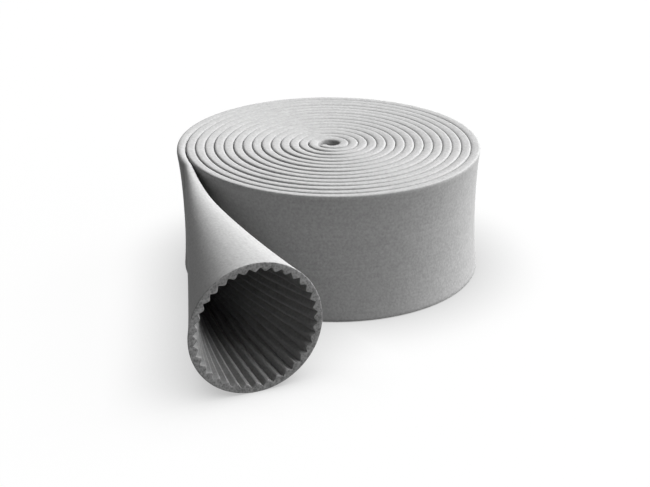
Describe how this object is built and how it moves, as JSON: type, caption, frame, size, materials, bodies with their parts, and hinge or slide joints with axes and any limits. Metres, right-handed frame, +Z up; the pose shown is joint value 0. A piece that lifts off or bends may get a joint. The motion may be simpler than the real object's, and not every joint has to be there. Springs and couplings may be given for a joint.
{
  "type": "acoustic pipe insulation sleeve",
  "caption": "Coil of flattened grey foam pipe sleeve wound on edge, its outer end running off the coil and opening into a round mouth with triangular ribs inside.",
  "frame": {"origin": "on the floor, under the middle of the whole piece's extents", "axes": "+Z up along the coil's axis; the sleeve's open mouth faces -Y; +X from the tail across to the coil"},
  "size_m": [0.3982, 0.4054, 0.1343],
  "materials": {
    "foam": "matte closed-cell foam skin"
  },
  "bodies": {
    "root": {"foam_sleeve": "foam"}
  },
  "joints": []
}
